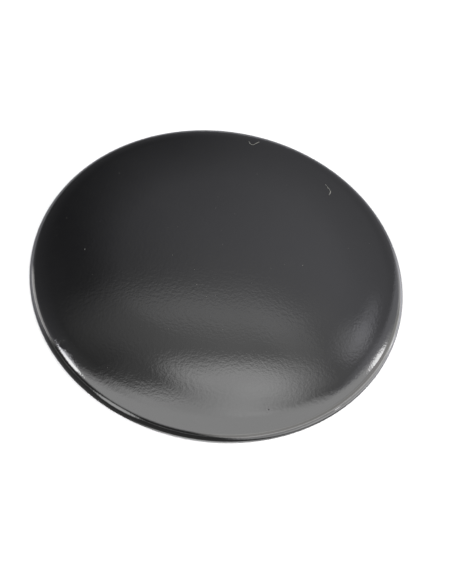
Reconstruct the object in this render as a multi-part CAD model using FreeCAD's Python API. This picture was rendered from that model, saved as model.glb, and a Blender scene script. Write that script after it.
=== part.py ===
import FreeCAD, Part
import math
import os

# Gas burner cap: one round pressing of enamelled sheet steel, hollow underneath.
# The rim's bottom face lies on z = 0 and the axis of the cap is +Z. Units are millimetres.

# Plan sizes: how far from the axis the cap, its crown, its haunch and its bend reach
CAP_RADIUS = 50.0
CROWN_EXTENT = 26.0
HAUNCH_EXTENT = 44.5
BEND_EXTENT = 48.3

# Section sizes
SHEET = 1.5
CROWN_RADIUS = 420.0
HAUNCH_RADIUS = 130.0
BEND_RADIUS = 22.0
SHOULDER_HEIGHT = 1.0
RIM_OUTER_ROUND = 0.5
RIM_INNER_ROUND = 0.3


def section_point(x, z):
    return FreeCAD.Vector(x, 0.0, z)


def on_arc(centre, radius, slope):
    """Point of a convex arc where the sheet falls outward at the given slope."""
    return section_point(centre.x + radius * math.sin(slope), centre.z + radius * math.cos(slope))


def sheet_arc(centre, radius, slope_from, slope_to):
    """Convex arc of the section between two slopes."""
    middle = 0.5 * (slope_from + slope_to)
    return Part.Arc(
        on_arc(centre, radius, slope_from),
        on_arc(centre, radius, middle),
        on_arc(centre, radius, slope_to),
    ).toShape()


def next_centre(centre, radius, next_radius, slope):
    """Centre of the arc that carries on smoothly from another arc at a slope."""
    return on_arc(centre, radius - next_radius, slope)


def straight(start, end):
    return Part.LineSegment(start, end).toShape()


# Slopes where the crown runs into the haunch, the haunch into the bend, and the bend into the shoulder
crown_sine = CROWN_EXTENT / CROWN_RADIUS
haunch_sine = crown_sine + (HAUNCH_EXTENT - CROWN_EXTENT) / HAUNCH_RADIUS
bend_sine = haunch_sine + (BEND_EXTENT - HAUNCH_EXTENT) / BEND_RADIUS
crown_slope = math.asin(crown_sine)
haunch_slope = math.asin(haunch_sine)
bend_slope = math.asin(bend_sine)
upright = 0.5 * math.pi

# The shoulder's radius takes the sheet from the bend's slope to upright by the cap's edge
shoulder_radius = (CAP_RADIUS - BEND_EXTENT) / (1.0 - bend_sine)
inner_wall_radius = CAP_RADIUS - SHEET

# Centres of the four arcs of the dome, from the rim up
shoulder_centre = section_point(CAP_RADIUS - shoulder_radius, SHOULDER_HEIGHT)
bend_centre = next_centre(shoulder_centre, shoulder_radius, BEND_RADIUS, bend_slope)
haunch_centre = next_centre(bend_centre, BEND_RADIUS, HAUNCH_RADIUS, haunch_slope)
crown_centre = section_point(0.0, next_centre(haunch_centre, HAUNCH_RADIUS, CROWN_RADIUS, crown_slope).z)

# Upper side of the sheet: crown, haunch, bend, shoulder and the short upright rim
upper_side = [
    sheet_arc(crown_centre, CROWN_RADIUS, 0.0, crown_slope),
    sheet_arc(haunch_centre, HAUNCH_RADIUS, crown_slope, haunch_slope),
    sheet_arc(bend_centre, BEND_RADIUS, haunch_slope, bend_slope),
    sheet_arc(shoulder_centre, shoulder_radius, bend_slope, upright),
    straight(section_point(CAP_RADIUS, SHOULDER_HEIGHT), section_point(CAP_RADIUS, RIM_OUTER_ROUND)),
]

# Bottom edge of the rim: two rounds, and between them the flat ring that the cap rests on
outer_round_centre = section_point(CAP_RADIUS - RIM_OUTER_ROUND, RIM_OUTER_ROUND)
inner_round_centre = section_point(inner_wall_radius + RIM_INNER_ROUND, RIM_INNER_ROUND)
rim_edge = [
    sheet_arc(outer_round_centre, RIM_OUTER_ROUND, upright, 2.0 * upright),
    straight(section_point(outer_round_centre.x, 0.0), section_point(inner_round_centre.x, 0.0)),
    sheet_arc(inner_round_centre, RIM_INNER_ROUND, 2.0 * upright, 3.0 * upright),
]

# Lower side of the sheet, one sheet thickness inside the upper side
crown_top = on_arc(crown_centre, CROWN_RADIUS, 0.0)
crown_underside = on_arc(crown_centre, CROWN_RADIUS - SHEET, 0.0)
lower_side = [
    straight(section_point(inner_wall_radius, RIM_INNER_ROUND), section_point(inner_wall_radius, SHOULDER_HEIGHT)),
    sheet_arc(shoulder_centre, shoulder_radius - SHEET, upright, bend_slope),
    sheet_arc(bend_centre, BEND_RADIUS - SHEET, bend_slope, haunch_slope),
    sheet_arc(haunch_centre, HAUNCH_RADIUS - SHEET, haunch_slope, crown_slope),
    sheet_arc(crown_centre, CROWN_RADIUS - SHEET, crown_slope, 0.0),
    straight(crown_underside, crown_top),
]

# One turn of the section makes the cap
outline = Part.Wire(upper_side + rim_edge + lower_side)
section = Part.Face(outline)
burner_cap = section.revolve(FreeCAD.Vector(0, 0, 0), FreeCAD.Vector(0, 0, 1), 360)

os.makedirs("parts", exist_ok=True)
burner_cap.exportStep("parts/burner_cap.step")
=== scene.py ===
import math
import random

import bpy
from mathutils import Matrix, Vector, noise


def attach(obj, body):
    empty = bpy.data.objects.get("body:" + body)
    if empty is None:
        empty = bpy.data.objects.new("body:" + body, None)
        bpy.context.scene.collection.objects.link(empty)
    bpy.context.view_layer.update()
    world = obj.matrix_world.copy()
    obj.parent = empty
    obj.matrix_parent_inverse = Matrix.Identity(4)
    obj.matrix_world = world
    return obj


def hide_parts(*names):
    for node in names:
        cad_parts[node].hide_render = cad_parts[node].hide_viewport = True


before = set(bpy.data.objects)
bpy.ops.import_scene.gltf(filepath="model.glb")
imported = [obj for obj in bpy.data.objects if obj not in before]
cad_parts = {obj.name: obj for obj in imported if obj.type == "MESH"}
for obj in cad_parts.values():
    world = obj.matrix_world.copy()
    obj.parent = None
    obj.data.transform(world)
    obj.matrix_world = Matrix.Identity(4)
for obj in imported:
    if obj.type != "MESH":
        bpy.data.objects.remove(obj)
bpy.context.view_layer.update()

MM = 0.001
UPRIGHT = 0.5 * math.pi
FULL_TURN = 2.0 * math.pi

# Section of the cap in millimetres, as in the solid
CAP_RADIUS = 50.0
CROWN_EXTENT = 26.0
HAUNCH_EXTENT = 44.5
BEND_EXTENT = 48.3
SHEET = 1.5
CROWN_RADIUS = 420.0
HAUNCH_RADIUS = 130.0
BEND_RADIUS = 22.0
SHOULDER_HEIGHT = 1.0
RIM_OUTER_ROUND = 0.5
RIM_INNER_ROUND = 0.3

# Mesh density
AROUND = 600
CROWN_STEPS = 22
HAUNCH_STEPS = 22
BEND_STEPS = 12
SHOULDER_STEPS = 20
ROUND_STEPS = 6

# Unevenness of the fired coat in millimetres: (height, wavelength, layer of the noise)
WAVES = [(0.011, 21.0, 3.7), (0.005, 7.5, 11.2)]
COAT_SINK = 0.016
RIM_FADE = 4.0

# Dent at the top of the shoulder
DENT_AT = (-34.6, -32.2)
DENT_RADIUS = 1.3
DENT_DEPTH = 0.045

# Enamel
ENAMEL_IOR = 1.8
ENAMEL_DARK = (0.0005, 0.0005, 0.0006, 1.0)
ENAMEL_PALE = (0.0012, 0.0012, 0.0012, 1.0)
ENAMEL_TONE_SCALE = 260.0
GLOSS_SCALE = 55.0
GLOSS_RANGE = (0.02, 0.05)
PEEL_SCALE = 1250.0
PEEL_HEIGHT = 0.000017

# Lint and dust on the dome
FIBRE_STEPS = 5
FIBRE_SIDES = 8
FIBRE_LIFT = 0.25
SPECK_SIDES = 8
SPECK_ROWS = [(-0.3, 0.6), (0.0, 1.0), (0.3, 0.75)]
SPECK_RAGGED = 0.35
DUST_TONE_SCALE = 900.0
DUST_COUNT = 34
DUST_SEED = 12
DUST_REACH = 44.0
DUST_SIZES = (0.07, 0.13)
LINT_DARK = (0.135, 0.135, 0.128, 1.0)
LINT_PALE = (0.255, 0.25, 0.23, 1.0)
GRIT_DARK = (0.013, 0.013, 0.013, 1.0)
GRIT_PALE = (0.033, 0.032, 0.029, 1.0)
LINT_BACK = [
    (1.63, 45.01, 0.16),
    (2.12, 43.99, 0.15),
    (2.81, 43.67, 0.13),
    (3.50, 44.20, 0.12),
    (4.29, 45.24, 0.20),
    (4.69, 45.74, 0.15),
]
LINT_RIGHT = [
    (25.17, 33.56, 0.08),
    (25.92, 32.53, 0.10),
    (26.56, 31.57, 0.13),
    (26.89, 30.97, 0.22),
    (26.79, 30.08, 0.20),
    (26.54, 29.31, 0.12),
]
LARGE_SPECKS = [
    (-35.46, -4.75, 0.26),
    (-4.07, 15.68, 0.16),
    (-12.73, -2.58, 0.14),
    (21.44, 2.00, 0.18),
    (8.81, -6.85, 0.14),
    (-5.08, -10.44, 0.15),
    (-1.99, -13.49, 0.16),
    (0.20, -12.56, 0.14),
    (3.48, -22.15, 0.14),
]
GRIT_SPECKS = [(17.80, -40.51, 0.30)]

# Floor
FLOOR_HALF = 3.0
FLOOR_COLOUR = (0.81, 0.81, 0.81, 1.0)

# Colours of the studio light
NEUTRAL_LIGHT = (1.0, 1.0, 1.0, 1.0)
COOL_LIGHT = (0.985, 0.985, 1.045, 1.0)
WARM_LIGHT = (1.0, 0.985, 0.955, 1.0)

# White surround: dim near the horizon, with a glow that carries the floor's white on
WHITE = 2.54
LOW = 0.21
HORIZON = 0.79
SURROUND_RISE = (math.sin(math.radians(20.0)), math.sin(math.radians(42.0)))
HORIZON_FADE = (0.045, 0.09)

# Dim opening at the back: azimuth and elevation that each edge faces, and where it starts and ends
FRONT_EDGE = (-9.4, 0.1)
FRONT_EDGE_STEP = (-0.083, 0.101)
RIGHT_EDGE = (-72.0, -9.7)
RIGHT_EDGE_STEP = (-0.680, -0.590)
DIM_SLOPE = (158.7, -39.0)
DIM_SLOPE_STEP = (-1.270, 0.400)
DIM_HIGH = 1.368
COOL_FADE = (0.75, 0.92)

# Lower half, which stands in for the floor in the reflections
HORIZON_BLEND = (-0.03, 0.01)
LOWER_STEP = (-0.2, 0.7)
LOWER_RANGE = (0.22, 0.66)

# Soft patches: (azimuth, elevation, half width, half height, spin, strength, core)
OPENING_LOBES = [
    (-0.9, 61.8, 0.272, 0.072, 4.3, 0.275, 0.13),
    (-45.9, 89.0, 0.184, 0.422, -131.2, 1.860, 0.36),
    (43.6, 50.5, 0.054, 0.171, 28.8, 0.532, 0.09),
    (8.7, 57.8, 0.758, 0.455, -51.2, 0.501, 0.00),
    (-11.4, 66.8, 0.439, 0.206, 1.8, 0.318, 0.30),
    (24.2, 41.4, 0.811, 0.347, -42.7, 0.261, 0.12),
    (28.4, 74.5, 0.300, 0.152, 31.4, 2.062, 0.18),
    (80.6, 70.0, 0.364, 0.184, 61.6, 1.232, 0.15),
    (45.8, 54.1, 0.113, 0.125, 158.0, 0.411, 0.20),
    (48.7, 15.7, 0.685, 0.175, 109.4, 0.515, 0.62),
    (93.9, 45.2, 0.545, 0.202, 197.6, 0.313, 0.70),
    (-6.3, 77.9, 0.132, 0.085, -42.7, 0.486, 0.13),
    (-62.3, 78.0, 0.266, 0.165, -9.6, 0.216, 0.29),
    (33.1, 63.1, 0.304, 0.073, -10.6, 0.191, 0.38),
]
LAMPS = [
    (-104.5, 42.0, 0.33, 0.15, -57.0, 8.1, 0.50),
    (69.5, 38.5, 0.10, 0.14, 0.0, 6.6, 0.35),
    (-144.0, 3.0, 0.26, 0.36, 0.0, 2.9, 0.50),
]
LOWER_LOBES = [
    (100.0, -16.0, 1.12, 0.58, 0.0, 1.6, 0.80),
    (172.0, -68.0, 0.38, 0.30, 0.0, 1.92, 0.35),
    (71.0, -14.0, 0.10, 0.11, 0.0, 3.69, 0.40),
    (92.0, -14.0, 0.40, 0.09, 0.0, 0.74, 0.50),
    (82.0, -14.0, 0.05, 0.07, 0.0, 0.88, 0.30),
    (108.0, -18.0, 0.04, 0.08, 0.0, 6.0, 0.30),
    (122.0, -62.0, 0.36, 0.22, 0.0, 0.6, 0.40),
    (122.0, -29.0, 0.26, 0.17, 0.0, 0.7, 0.30),
    (-78.0, -14.0, 0.42, 0.34, 0.0, 0.66, 0.40),
]

# Low glowing cards round the cap: (azimuth, foot, top, glow), in degrees and millimetres,
# with the share of the height and of the glow at each row of points
CARD_RADIUS = 68.0
CARD_ROWS = [(0.0, 1.0), (0.5, 1.0), (0.8, 0.9), (1.0, 0.0)]
RIGHT_CARD = [
    (59.0, 0.0, 13.5, 0.00),
    (66.5, 0.0, 13.5, 0.25),
    (72.0, 0.0, 14.5, 0.68),
    (79.5, 0.0, 16.0, 1.24),
    (89.0, 0.0, 18.0, 1.67),
    (100.5, 0.0, 18.0, 1.86),
    (112.0, 0.0, 18.0, 1.86),
    (123.5, 0.0, 18.0, 1.86),
    (135.0, 0.0, 18.0, 1.86),
    (144.5, 0.0, 18.0, 1.95),
    (152.0, 0.0, 18.0, 2.05),
    (159.5, 0.0, 18.0, 2.15),
    (165.0, 0.5, 18.0, 2.00),
    (169.5, 3.0, 18.0, 1.90),
    (174.0, 6.0, 18.0, 1.10),
    (180.0, 9.0, 18.0, 0.00),
]
LEFT_CARD = [
    (-91.0, 0.0, 13.5, 0.00),
    (-95.5, 0.0, 13.5, 1.90),
    (-102.5, 0.0, 13.5, 2.18),
    (-110.0, 1.0, 13.5, 2.04),
    (-118.0, 3.0, 13.5, 1.63),
    (-124.5, 6.0, 13.5, 0.00),
]

# Camera, read from the outline in the photo
ELEVATION = 54.571
ROLL = 10.430
DISTANCE = 0.25799
PAN = -0.4213
TILT = -0.8771
LENS = 60.0
SENSOR = 36.0
CLIP_START = 0.01


# The cap
def arc_points(centre, radius, slope_from, slope_to, steps):
    """Points of a section arc; a slope of 0 is its top, 90 its outer side and 180 its bottom."""
    points = []
    for i in range(steps + 1):
        slope = slope_from + (slope_to - slope_from) * i / steps
        across = centre[0] + radius * math.sin(slope)
        points.append((across, centre[1] + radius * math.cos(slope), slope))
    return points


def next_centre(centre, radius, next_radius, slope):
    """Centre of the arc that carries on smoothly from another arc at a slope."""
    gap = radius - next_radius
    return centre[0] + gap * math.sin(slope), centre[1] + gap * math.cos(slope)


def cap_section():
    """Section over the dome, round the rim and back under to the middle.

    Each point is (radius, height, slope of the normal).
    """
    crown_sine = CROWN_EXTENT / CROWN_RADIUS
    haunch_sine = crown_sine + (HAUNCH_EXTENT - CROWN_EXTENT) / HAUNCH_RADIUS
    bend_sine = haunch_sine + (BEND_EXTENT - HAUNCH_EXTENT) / BEND_RADIUS
    crown_slope = math.asin(crown_sine)
    haunch_slope = math.asin(haunch_sine)
    bend_slope = math.asin(bend_sine)
    shoulder_radius = (CAP_RADIUS - BEND_EXTENT) / (1.0 - bend_sine)
    shoulder = (CAP_RADIUS - shoulder_radius, SHOULDER_HEIGHT)
    bend = next_centre(shoulder, shoulder_radius, BEND_RADIUS, bend_slope)
    haunch = next_centre(bend, BEND_RADIUS, HAUNCH_RADIUS, haunch_slope)
    crown = (0.0, next_centre(haunch, HAUNCH_RADIUS, CROWN_RADIUS, crown_slope)[1])
    outer_round = (CAP_RADIUS - RIM_OUTER_ROUND, RIM_OUTER_ROUND)
    inner_round = (CAP_RADIUS - SHEET + RIM_INNER_ROUND, RIM_INNER_ROUND)

    upper = arc_points(crown, CROWN_RADIUS, 0.0, crown_slope, CROWN_STEPS)
    upper += arc_points(haunch, HAUNCH_RADIUS, crown_slope, haunch_slope, HAUNCH_STEPS)[1:]
    upper += arc_points(bend, BEND_RADIUS, haunch_slope, bend_slope, BEND_STEPS)[1:]
    upper += arc_points(shoulder, shoulder_radius, bend_slope, UPRIGHT, SHOULDER_STEPS)[1:]
    rim = arc_points(outer_round, RIM_OUTER_ROUND, UPRIGHT, 2.0 * UPRIGHT, ROUND_STEPS)
    rim += arc_points(inner_round, RIM_INNER_ROUND, 2.0 * UPRIGHT, 3.0 * UPRIGHT, ROUND_STEPS)
    under = arc_points(shoulder, shoulder_radius - SHEET, UPRIGHT, bend_slope, SHOULDER_STEPS // 2)
    under += arc_points(bend, BEND_RADIUS - SHEET, bend_slope, haunch_slope, BEND_STEPS // 2)[1:]
    under += arc_points(haunch, HAUNCH_RADIUS - SHEET, haunch_slope, crown_slope, HAUNCH_STEPS // 2)[1:]
    under += arc_points(crown, CROWN_RADIUS - SHEET, crown_slope, 0.0, CROWN_STEPS // 2)[1:]
    return upper, rim, under


UPPER, RIM, UNDER = cap_section()


def dome_height(radius):
    """Height of the upper side at a radius, by straight lines between the section's points."""
    for a, b in zip(UPPER, UPPER[1:]):
        if a[0] <= radius <= b[0]:
            return a[1] + (b[1] - a[1]) * (radius - a[0]) / (b[0] - a[0])
    return SHOULDER_HEIGHT


def new_object(name, verts, faces, material):
    mesh = bpy.data.meshes.new(name)
    mesh.from_pydata(verts, [], faces)
    mesh.update()
    for polygon in mesh.polygons:
        polygon.use_smooth = True
    mesh.materials.append(material)
    piece = bpy.data.objects.new(name, mesh)
    bpy.context.scene.collection.objects.link(piece)
    return piece


def wave(x, y):
    """Faint unevenness of the fired coat, in millimetres."""
    return sum(
        rise * noise.noise(Vector((x / wavelength, y / wavelength, layer)))
        for rise, wavelength, layer in WAVES
    )


def dent(x, y):
    """Small dent at the top of the shoulder on the left, in millimetres."""
    gap = math.hypot(x - DENT_AT[0], y - DENT_AT[1]) / DENT_RADIUS
    if gap >= 1.0:
        return 0.0
    return -DENT_DEPTH * (1.0 - gap * gap) ** 2


def turned_cap(material):
    """The cap as one closed turned mesh; its coat is sunk a little, so that no wave leaves the solid's box."""
    rings = UPPER[1:] + RIM + UNDER[:-1]
    upper_count = len(UPPER) - 1
    verts = [(0.0, 0.0, UPPER[0][1] * MM)]
    for k, (radius, height, slope) in enumerate(rings):
        for i in range(AROUND):
            angle = FULL_TURN * i / AROUND
            x = radius * math.cos(angle)
            y = radius * math.sin(angle)
            rise = 0.0
            if k < upper_count:
                rise = wave(x, y) + dent(x, y) - COAT_SINK
            r = radius + rise * math.sin(slope) * min(1.0, math.cos(slope) * RIM_FADE)
            z = height + rise * math.cos(slope)
            verts.append((r * MM * math.cos(angle), r * MM * math.sin(angle), z * MM))
    verts.append((0.0, 0.0, UNDER[-1][1] * MM))
    last = len(verts) - 1
    faces = []
    for i in range(AROUND):
        faces.append((0, 1 + i, 1 + (i + 1) % AROUND))
    for k in range(len(rings) - 1):
        a = 1 + k * AROUND
        b = a + AROUND
        for i in range(AROUND):
            j = (i + 1) % AROUND
            faces.append((a + i, b + i, b + j, a + j))
    a = 1 + (len(rings) - 1) * AROUND
    for i in range(AROUND):
        faces.append((a + i, last, a + (i + 1) % AROUND))
    return new_object("burner_cap_enamelled", verts, faces, material)


def link(tree, source, target):
    tree.links.new(source, target)


def noise_texture(tree, place, scale, detail):
    node = tree.nodes.new("ShaderNodeTexNoise")
    node.inputs["Scale"].default_value = scale
    node.inputs["Detail"].default_value = detail
    link(tree, place.outputs["Object"], node.inputs["Vector"])
    return node


def mottled_colour(tree, tone, dark, dark_at, pale, pale_at):
    """Base colour that runs from dark to pale with a noise texture."""
    ramp = tree.nodes.new("ShaderNodeValToRGB")
    for element, position, colour in zip(ramp.color_ramp.elements, (dark_at, pale_at), (dark, pale)):
        element.position = position
        element.color = colour
    link(tree, tone.outputs["Fac"], ramp.inputs["Fac"])
    link(tree, ramp.outputs["Color"], tree.nodes["Principled BSDF"].inputs["Base Color"])


def enamel_material():
    """Glossy black fired enamel with orange peel and a faint uneven gloss."""
    material = bpy.data.materials.new("black_enamel")
    material.use_nodes = True
    tree = material.node_tree
    shader = tree.nodes["Principled BSDF"]
    shader.inputs["IOR"].default_value = ENAMEL_IOR
    place = tree.nodes.new("ShaderNodeTexCoord")

    tone = noise_texture(tree, place, ENAMEL_TONE_SCALE, 5.0)
    mottled_colour(tree, tone, ENAMEL_DARK, 0.35, ENAMEL_PALE, 0.70)

    gloss = noise_texture(tree, place, GLOSS_SCALE, 4.0)
    spread = tree.nodes.new("ShaderNodeMapRange")
    spread.inputs["From Min"].default_value = 0.3
    spread.inputs["From Max"].default_value = 0.7
    spread.inputs["To Min"].default_value = GLOSS_RANGE[0]
    spread.inputs["To Max"].default_value = GLOSS_RANGE[1]
    link(tree, gloss.outputs["Fac"], spread.inputs["Value"])
    link(tree, spread.outputs["Result"], shader.inputs["Roughness"])

    peel = noise_texture(tree, place, PEEL_SCALE, 1.5)
    peel.inputs["Roughness"].default_value = 0.75
    bump = tree.nodes.new("ShaderNodeBump")
    bump.inputs["Strength"].default_value = 1.0
    bump.inputs["Distance"].default_value = PEEL_HEIGHT
    link(tree, peel.outputs["Fac"], bump.inputs["Height"])
    link(tree, bump.outputs["Normal"], shader.inputs["Normal"])
    return material


enamel = enamel_material()
cap = turned_cap(enamel)
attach(cap, "root")
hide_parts("burner_cap")


# Lint and dust
def dust_material(name, dark, pale):
    """Matt fibre or dust, uneven along its length."""
    material = bpy.data.materials.new(name)
    material.use_nodes = True
    tree = material.node_tree
    shader = tree.nodes["Principled BSDF"]
    shader.inputs["Roughness"].default_value = 0.9
    shader.inputs["Specular IOR Level"].default_value = 0.2
    place = tree.nodes.new("ShaderNodeTexCoord")
    tone = noise_texture(tree, place, DUST_TONE_SCALE, 3.0)
    mottled_colour(tree, tone, dark, 0.35, pale, 0.65)
    return material


def curve_value(a, b, c, d, t):
    """Value between b and c on the smooth curve through a, b, c and d."""
    straight = 2 * b + (c - a) * t
    squared = (2 * a - 5 * b + 4 * c - d) * t * t
    cubed = (3 * b - a - 3 * c + d) * t ** 3
    return 0.5 * (straight + squared + cubed)


def smooth_path(points, steps):
    """Smooth line through the points, as (x, y, thickness)."""
    line = []
    last = len(points) - 1
    for i in range(last):
        near = points[max(i - 1, 0)], points[i], points[i + 1], points[min(i + 2, last)]
        for k in range(steps):
            line.append(tuple(curve_value(*values, k / steps) for values in zip(*near)))
    line.append(points[last])
    return line


def tube_faces(start, rows, sides):
    """Faces of a closed tube of several rows of points, with a flat cap at each end."""
    faces = [tuple(start + k for k in range(sides))[::-1]]
    for row in range(rows - 1):
        a = start + row * sides
        for k in range(sides):
            j = (k + 1) % sides
            faces.append((a + k, a + j, a + sides + j, a + sides + k))
    end = start + (rows - 1) * sides
    faces.append(tuple(end + k for k in range(sides)))
    return faces


def fibre(name, points, material):
    """Fine fibre that lies on the dome, from (x, y, thickness) in millimetres."""
    line = smooth_path(points, FIBRE_STEPS)
    verts = []
    for i, (x, y, thickness) in enumerate(line):
        before, after = line[max(i - 1, 0)], line[min(i + 1, len(line) - 1)]
        side = Vector((before[1] - after[1], after[0] - before[0], 0.0)).normalized()
        middle = Vector((x, y, dome_height(math.hypot(x, y)) + FIBRE_LIFT * thickness))
        for k in range(FIBRE_SIDES):
            a = FULL_TURN * k / FIBRE_SIDES
            outward = side * math.cos(a) + Vector((0, 0, math.sin(a)))
            verts.append((middle + 0.5 * thickness * outward) * MM)
    piece = new_object(name, verts, tube_faces(0, len(line), FIBRE_SIDES), material)
    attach(piece, "root")


def scattered_specks(count, seed):
    """Fine dust over the dome, as (x, y, size) in millimetres."""
    draw = random.Random(seed)
    specks = []
    for _ in range(count):
        reach = DUST_REACH * math.sqrt(draw.random())
        angle = draw.uniform(0.0, FULL_TURN)
        specks.append((reach * math.cos(angle), reach * math.sin(angle), draw.uniform(*DUST_SIZES)))
    return specks


def dust_specks(name, specks, material):
    """Grains of dust that stick to the dome, from (x, y, size) in millimetres."""
    verts = []
    faces = []
    for x, y, size in specks:
        base = Vector((x, y, dome_height(math.hypot(x, y))))
        faces += tube_faces(len(verts), len(SPECK_ROWS), SPECK_SIDES)
        for rise, share in SPECK_ROWS:
            for k in range(SPECK_SIDES):
                a = FULL_TURN * k / SPECK_SIDES
                spot = Vector((x + 2.0 * math.cos(a), y + 2.0 * math.sin(a), rise))
                reach = 0.5 * size * share * (1.0 + SPECK_RAGGED * noise.noise(spot))
                verts.append((base + Vector((reach * math.cos(a), reach * math.sin(a), rise * size))) * MM)
    piece = new_object(name, verts, faces, material)
    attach(piece, "root")


lint = dust_material("grey_lint", LINT_DARK, LINT_PALE)
fibre("lint_back", LINT_BACK, lint)
fibre("lint_right", LINT_RIGHT, lint)
dust_specks("dust", LARGE_SPECKS + scattered_specks(DUST_COUNT, DUST_SEED), lint)
grit = dust_material("dark_grit", GRIT_DARK, GRIT_PALE)
dust_specks("grit", GRIT_SPECKS, grit)


# Floor, left out of the reflections
def paper_material():
    material = bpy.data.materials.new("pale_paper")
    material.use_nodes = True
    shader = material.node_tree.nodes["Principled BSDF"]
    shader.inputs["Base Color"].default_value = FLOOR_COLOUR
    shader.inputs["Roughness"].default_value = 0.9
    return material


floor_corners = [
    (-FLOOR_HALF, -FLOOR_HALF, 0),
    (FLOOR_HALF, -FLOOR_HALF, 0),
    (FLOOR_HALF, FLOOR_HALF, 0),
    (-FLOOR_HALF, FLOOR_HALF, 0),
]
floor = new_object("floor", floor_corners, [(0, 1, 2, 3)], paper_material())
floor.visible_glossy = False


# Studio light: a white surround with a dim opening at the back
def direction(azimuth, elevation):
    """Unit vector; azimuth is counted from the back towards the right, in degrees."""
    a = math.radians(azimuth)
    e = math.radians(elevation)
    return Vector((math.sin(a) * math.cos(e), math.cos(a) * math.cos(e), math.sin(e)))


world = bpy.data.worlds.new("studio")
bpy.context.scene.world = world
world.use_nodes = True
sky = world.node_tree
sky_place = sky.nodes.new("ShaderNodeTexCoord").outputs["Generated"]


def math_node(operation, a, b):
    node = sky.nodes.new("ShaderNodeMath")
    node.operation = operation
    for socket, value in zip(node.inputs, (a, b)):
        if isinstance(value, (int, float)):
            socket.default_value = value
        else:
            link(sky, value, socket)
    return node.outputs["Value"]


def blend(a, b, share):
    """One value where the share is 1, and the other where it is 0."""
    rest = math_node("SUBTRACT", 1.0, share)
    return math_node("ADD", math_node("MULTIPLY", a, share), math_node("MULTIPLY", b, rest))


def soft_step(value, start, end, low=0.0, high=1.0):
    node = sky.nodes.new("ShaderNodeMapRange")
    node.interpolation_type = "SMOOTHSTEP"
    node.inputs["From Min"].default_value = start
    node.inputs["From Max"].default_value = end
    node.inputs["To Min"].default_value = low
    node.inputs["To Max"].default_value = high
    link(sky, value, node.inputs["Value"])
    return node.outputs["Result"]


def along(vector):
    """How far the looked-up direction points along a unit vector."""
    node = sky.nodes.new("ShaderNodeVectorMath")
    node.operation = "DOT_PRODUCT"
    node.inputs[1].default_value = vector
    link(sky, sky_place, node.inputs[0])
    return node.outputs["Value"]


def lobe(azimuth, elevation, half_width, half_height, spin, strength, core):
    """Soft elliptical patch of the surround, even over its core."""
    middle = direction(azimuth, elevation)
    across = Vector((0, 0, 1)).cross(middle).normalized()
    upward = middle.cross(across)
    s = math.radians(spin)
    u = across * math.cos(s) + upward * math.sin(s)
    v = upward * math.cos(s) - across * math.sin(s)
    turn = Matrix((u, v, middle)).transposed()
    patch = sky.nodes.new("ShaderNodeMapping")
    patch.vector_type = "TEXTURE"
    patch.inputs["Location"].default_value = middle
    patch.inputs["Rotation"].default_value = turn.to_euler()
    patch.inputs["Scale"].default_value = (half_width, half_height, 1.0)
    link(sky, sky_place, patch.inputs["Vector"])
    length = sky.nodes.new("ShaderNodeVectorMath")
    length.operation = "LENGTH"
    link(sky, patch.outputs["Vector"], length.inputs[0])
    return soft_step(length.outputs["Value"], core, 1.0, strength, 0.0)


def with_lobes(value, patches):
    for patch in patches:
        value = math_node("ADD", value, lobe(*patch))
    return value


def colour_sockets(sockets):
    return [socket for socket in sockets if socket.type == "RGBA"]


background = sky.nodes["Background"]
height = along(Vector((0, 0, 1)))
front_edge = soft_step(along(direction(*FRONT_EDGE)), *FRONT_EDGE_STEP)
right_edge = soft_step(along(direction(*RIGHT_EDGE)), *RIGHT_EDGE_STEP)
opening = math_node("MULTIPLY", front_edge, right_edge)
dim = soft_step(along(direction(*DIM_SLOPE)), *DIM_SLOPE_STEP, 0.0, DIM_HIGH)
dim = with_lobes(dim, OPENING_LOBES)
surround = soft_step(height, *SURROUND_RISE, LOW, WHITE)
upper_half = blend(dim, surround, opening)
upper_half = math_node("ADD", upper_half, soft_step(height, *HORIZON_FADE, HORIZON, 0.0))
lower_half = soft_step(along(Vector((0, 1, 0))), *LOWER_STEP, *LOWER_RANGE)
lower_half = with_lobes(lower_half, LOWER_LOBES)
light = blend(upper_half, lower_half, soft_step(height, *HORIZON_BLEND))
light = with_lobes(light, LAMPS)
link(sky, light, background.inputs["Strength"])

# The lower part of the opening is a little cooler than the rest
tint = sky.nodes.new("ShaderNodeMix")
tint.data_type = "RGBA"
neutral_side, cool_side = colour_sockets(tint.inputs)
neutral_side.default_value = NEUTRAL_LIGHT
cool_side.default_value = COOL_LIGHT
cool = math_node("MULTIPLY", opening, soft_step(height, *COOL_FADE, 1.0, 0.0))
link(sky, cool, tint.inputs["Factor"])
link(sky, colour_sockets(tint.outputs)[0], background.inputs["Color"])


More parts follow.
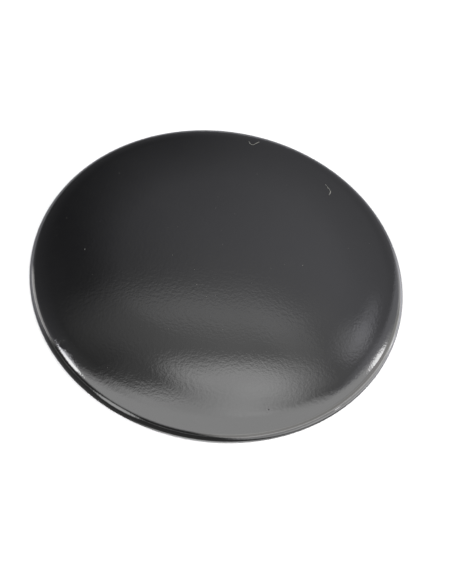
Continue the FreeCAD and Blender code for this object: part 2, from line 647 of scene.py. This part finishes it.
def glow_material(name):
    """Clear sheet that glows as much as its points say."""
    material = bpy.data.materials.new(name)
    material.use_nodes = True
    tree = material.node_tree
    tree.nodes.remove(tree.nodes["Principled BSDF"])
    emission = tree.nodes.new("ShaderNodeEmission")
    emission.inputs["Color"].default_value = WARM_LIGHT
    glow = tree.nodes.new("ShaderNodeAttribute")
    glow.attribute_name = "glow"
    link(tree, glow.outputs["Fac"], emission.inputs["Strength"])
    clear = tree.nodes.new("ShaderNodeBsdfTransparent")
    both = tree.nodes.new("ShaderNodeAddShader")
    link(tree, emission.outputs["Emission"], both.inputs[0])
    link(tree, clear.outputs["BSDF"], both.inputs[1])
    link(tree, both.outputs["Shader"], tree.nodes["Material Output"].inputs["Surface"])
    return material


def light_card(name, path):
    """Low glowing card that stands round the cap, out of the camera's sight."""
    verts = []
    glows = []
    for angle, foot, top, strength in path:
        a = math.radians(angle)
        for height_share, glow_share in CARD_ROWS:
            z = foot + (top - foot) * height_share
            verts.append((CARD_RADIUS * math.sin(a) * MM, CARD_RADIUS * math.cos(a) * MM, z * MM))
            glows.append(strength * glow_share)
    rows = len(CARD_ROWS)
    faces = []
    for k in range(len(path) - 1):
        for i in range(rows - 1):
            a = k * rows + i
            faces.append((a, a + rows, a + rows + 1, a + 1))
    card = new_object(name, verts, faces, glow_material(name))
    layer = card.data.attributes.new("glow", "FLOAT", "POINT")
    for item, value in zip(layer.data, glows):
        item.value = value
    card.visible_camera = False
    card.visible_shadow = False


light_card("card_right", RIGHT_CARD)
light_card("card_left", LEFT_CARD)

# Camera at the photo's viewing angle
camera_data = bpy.data.cameras.new("camera")
camera_data.lens = LENS
camera_data.sensor_width = SENSOR
camera_data.clip_start = CLIP_START
camera = bpy.data.objects.new("camera", camera_data)
tip = math.radians(ELEVATION)
camera.matrix_world = (
    Matrix.Translation((0.0, -math.cos(tip) * DISTANCE, math.sin(tip) * DISTANCE))
    @ Matrix.Rotation(math.radians(90.0 - ELEVATION), 4, "X")
    @ Matrix.Rotation(math.radians(ROLL), 4, "Z")
    @ Matrix.Rotation(math.radians(PAN), 4, "Y")
    @ Matrix.Rotation(math.radians(TILT), 4, "X")
)
bpy.context.scene.collection.objects.link(camera)
bpy.context.scene.camera = camera
bpy.context.scene.view_settings.view_transform = "Standard"
